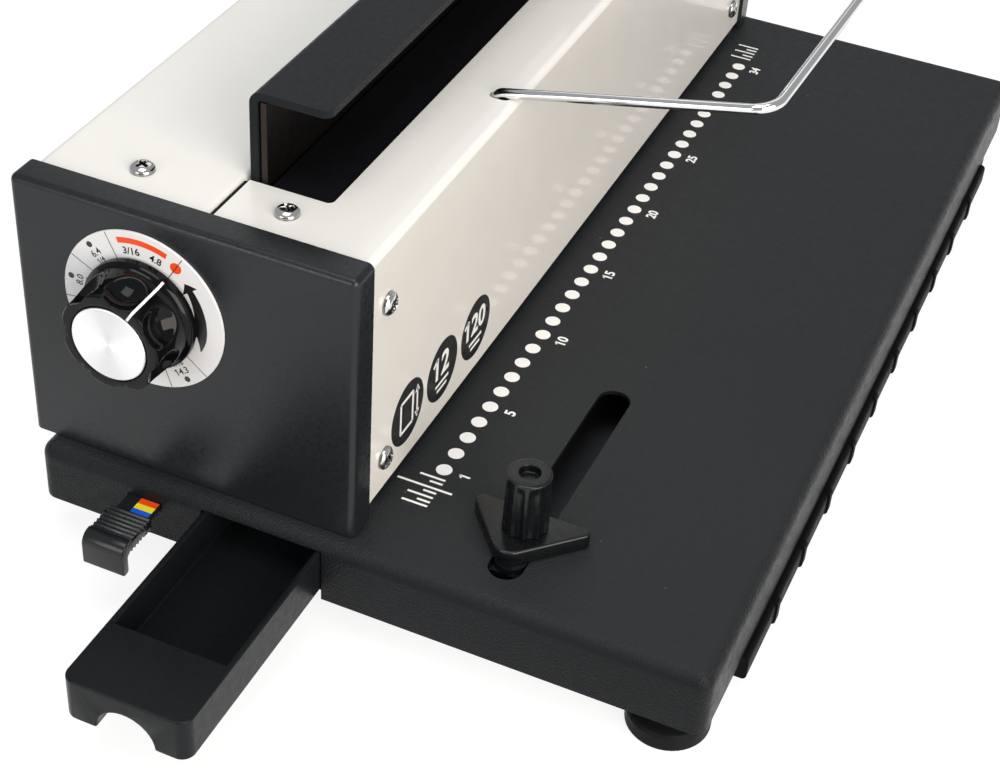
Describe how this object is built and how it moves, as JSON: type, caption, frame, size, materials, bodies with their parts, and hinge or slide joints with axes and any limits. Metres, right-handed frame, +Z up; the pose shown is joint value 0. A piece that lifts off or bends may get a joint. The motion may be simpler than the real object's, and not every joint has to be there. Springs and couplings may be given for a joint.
{
  "type": "wire binding machine",
  "caption": "Desktop punch and closer for wire-bound documents: textured black base, white covers, closing bar, size dial, wire hanger, chip tray and side lever.",
  "frame": {"origin": "on the ground, under the middle of the whole object as stored", "axes": "+X to the right along the hole row, +Y to the back, +Z up; the front, where the paper goes in, faces -Y"},
  "size_m": [0.4624, 0.2216, 0.2946],
  "materials": {
    "textured_black": "fine textured powder coat",
    "white_coat": "smooth satin powder coat",
    "dark_sheet": "satin",
    "frame_steel": "brushed",
    "worn_steel": "brushed, darkened",
    "bright_steel": "polished",
    "bronze": "plain",
    "dial_white": "printed satin",
    "gloss_black": "glossy",
    "turned_face": "turned",
    "matte_black": "fine grained",
    "rubber": "matt"
  },
  "bodies": {
    "machine": {"base_pan": "textured_black", "bottom_plate": "dark_sheet", "rubber_feet": "rubber", "foot_screws": "bright_steel", "front_strip": "rubber", "left_side_frame": "frame_steel", "right_side_frame": "frame_steel", "frame_screws": "bright_steel", "left_end_cap": "textured_black", "right_end_cap": "textured_black", "front_cover": "white_coat", "back_cover": "white_coat", "cover_screws": "bright_steel", "closing_bed": "dark_sheet", "die_plate": "frame_steel", "punch_guide": "frame_steel", "beam_posts": "bright_steel", "shaft_bushes": "bronze", "knob_bush": "bronze", "dial_plate": "dial_white", "wire_hanger": "bright_steel", "tray_rails": "dark_sheet", "return_springs": "bright_steel"},
    "lever": {"drive_shaft": "bright_steel", "pinions": "frame_steel", "lever_hub": "matte_black", "lever_arm": "bright_steel", "lever_grip": "rubber", "hub_screw": "bright_steel"},
    "beam": {"punch_beam": "frame_steel", "punch_pins": "bright_steel", "bar_brackets": "frame_steel", "backing_plate": "worn_steel", "closing_bar": "textured_black", "bar_screws": "bright_steel", "racks": "frame_steel", "stop_lug": "frame_steel"},
    "knob": {"size_knob": "gloss_black", "knob_face": "turned_face", "knob_spindle": "bright_steel", "stop_cam": "frame_steel"},
    "slider": {"slider_thumb": "matte_black", "slider_bar": "matte_black"},
    "stop": {"paper_stop": "frame_steel"},
    "tray": {"chip_tray": "matte_black"},
    "guide": {"guide_plate": "matte_black", "guide_block": "matte_black"},
    "clamp": {"guide_knob": "gloss_black"}
  },
  "joints": [
    {"name": "lever_pull", "type": "hinge", "parent": "machine", "child": "lever", "pos_m": [0.028, 0.07358, 0.0696], "axis": [1, 0, 0], "range_deg": [0, 92.9], "stiffness_Nm_per_rad": 1.5, "springref_deg": -57.3},
    {"name": "beam_drop", "type": "slide", "parent": "machine", "child": "beam", "axis": [0, 0, -1], "range_m": [0, 0.0219], "deforming": ["return_springs"]},
    {"name": "size_turn", "type": "hinge", "parent": "machine", "child": "knob", "pos_m": [-0.1577, 0.069, 0.0938], "axis": [1, 0, 0], "range_deg": [-246.5, 0]},
    {"name": "margin_slide", "type": "slide", "parent": "machine", "child": "slider", "axis": [-1, 0, 0], "range_m": [-0.0065, 0]},
    {"name": "stop_move", "type": "slide", "parent": "machine", "child": "stop", "axis": [0, 1, 0], "range_m": [-0.00325, 0]},
    {"name": "tray_pull", "type": "slide", "parent": "machine", "child": "tray", "axis": [-1, 0, 0], "range_m": [-0.0715, 0.12]},
    {"name": "guide_slide", "type": "slide", "parent": "machine", "child": "guide", "axis": [1, 0, 0], "range_m": [-0.0035, 0.066]},
    {"name": "clamp_turn", "type": "hinge", "parent": "guide", "child": "clamp", "pos_m": [-0.1285, -0.0401, 0.0346], "axis": [0, 0, 1], "range_deg": [0, 270]}
  ],
  "couplings": [
    {"joint": "beam_drop", "follows": "lever_pull", "m_per_rad": 0.0135},
    {"joint": "stop_move", "follows": "margin_slide", "ratio": 0.5}
  ]
}
